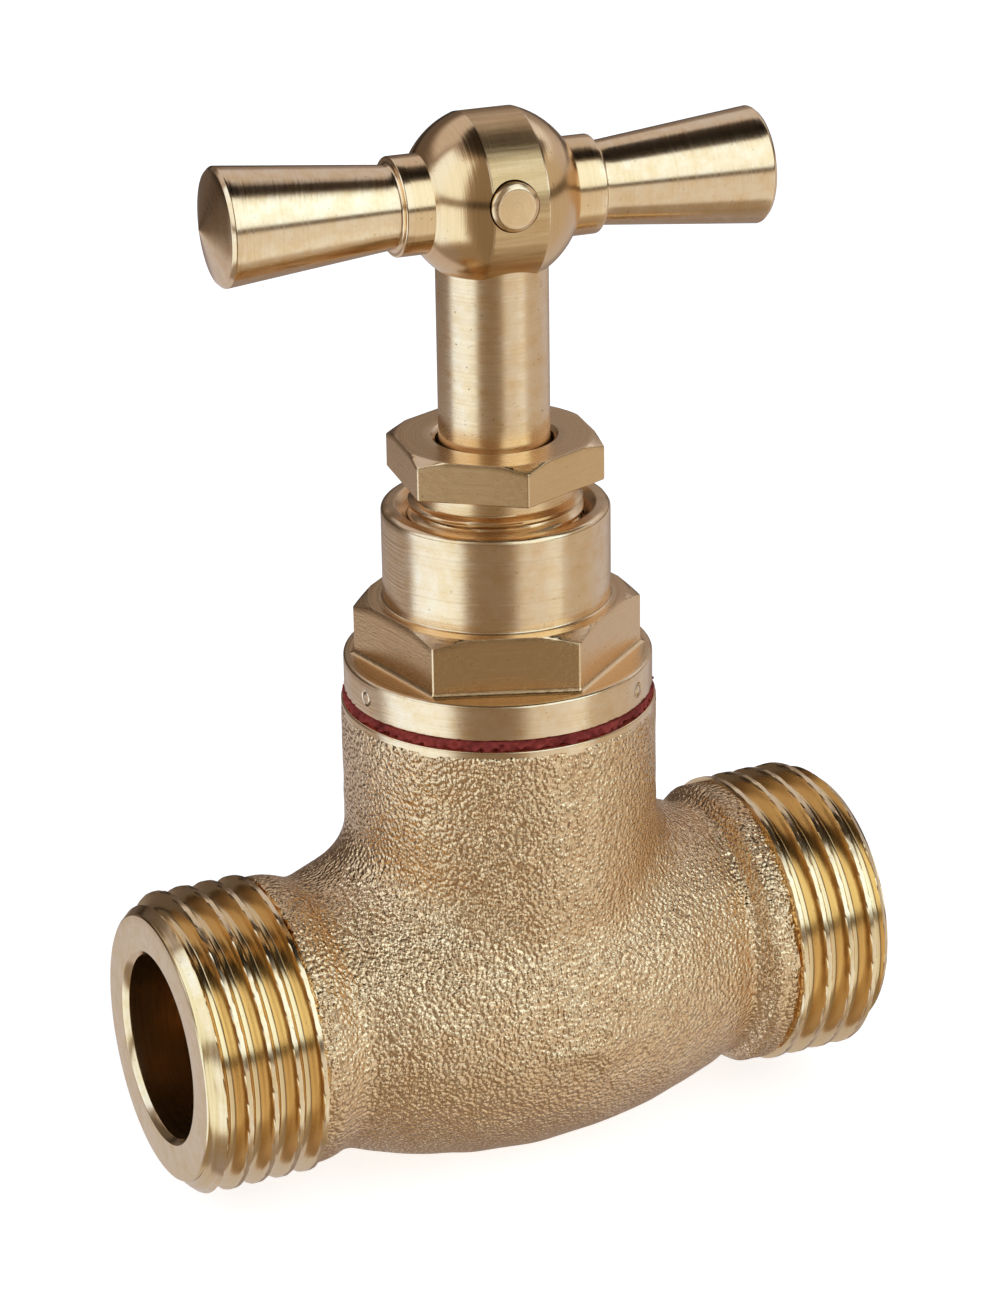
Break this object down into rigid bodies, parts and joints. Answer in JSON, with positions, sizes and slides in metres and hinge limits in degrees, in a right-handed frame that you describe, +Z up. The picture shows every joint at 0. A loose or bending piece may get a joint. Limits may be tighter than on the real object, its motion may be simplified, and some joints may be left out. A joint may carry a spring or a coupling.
{
  "type": "screw-down stop valve",
  "caption": "Straight screw-down stop valve in brass with male threaded ends, a rising stem and a T-handle that closes a rubber disc on an inner seat.",
  "frame": {"origin": "where the flow axis and the stem axis cross, at the middle of the valve", "axes": "+X along the flow axis towards the outlet, +Z up the stem axis towards the handle"},
  "size_m": [0.052, 0.0244, 0.0743],
  "materials": {
    "cast_brass": "sand-cast, blasted",
    "turned_brass": "turned",
    "red_fibre": "pressed fibre",
    "packing": "greased packing",
    "nut_brass": "milled",
    "satin_brass": "satin",
    "handle_brass": "turned",
    "pin_brass": "drawn wire",
    "black_rubber": "moulded",
    "spring_steel": "spring wire"
  },
  "bodies": {
    "root": {"valve_body": "cast_brass", "bonnet": "turned_brass", "bonnet_gasket": "red_fibre", "packing_base_washer": "turned_brass", "packing_ring_1": "packing", "packing_ring_2": "packing", "packing_ring_3": "packing"},
    "disc": {"disc_holder": "turned_brass", "seat_washer": "black_rubber", "washer_nut": "nut_brass", "disc_clip": "spring_steel"},
    "spindle": {"stem": "satin_brass", "tee_handle": "handle_brass", "handle_pin": "pin_brass"},
    "gland_ring": {"gland_washer": "turned_brass"},
    "gland": {"gland_nut": "nut_brass"}
  },
  "joints": [
    {"name": "disc_lift", "type": "slide", "parent": "root", "child": "disc", "axis": [0, 0, 1], "range_m": [-0.006, 0]},
    {"name": "stem_turn", "type": "hinge", "parent": "disc", "child": "spindle", "pos_m": [0, 0, 0.03], "axis": [0, 0, 1], "range_deg": [-1080, 0]},
    {"name": "packing_press", "type": "slide", "parent": "root", "child": "gland_ring", "axis": [0, 0, 1], "range_m": [-0.001, 0], "deforming": ["packing_ring_1", "packing_ring_2", "packing_ring_3"]},
    {"name": "gland_nut_turn", "type": "hinge", "parent": "gland_ring", "child": "gland", "pos_m": [0, 0, 0.035], "axis": [0, 0, 1], "range_deg": [-360, 0]}
  ],
  "couplings": [
    {"joint": "stem_turn", "follows": "disc_lift", "rad_per_m": 3141.6},
    {"joint": "gland_nut_turn", "follows": "packing_press", "rad_per_m": 6283.2}
  ]
}
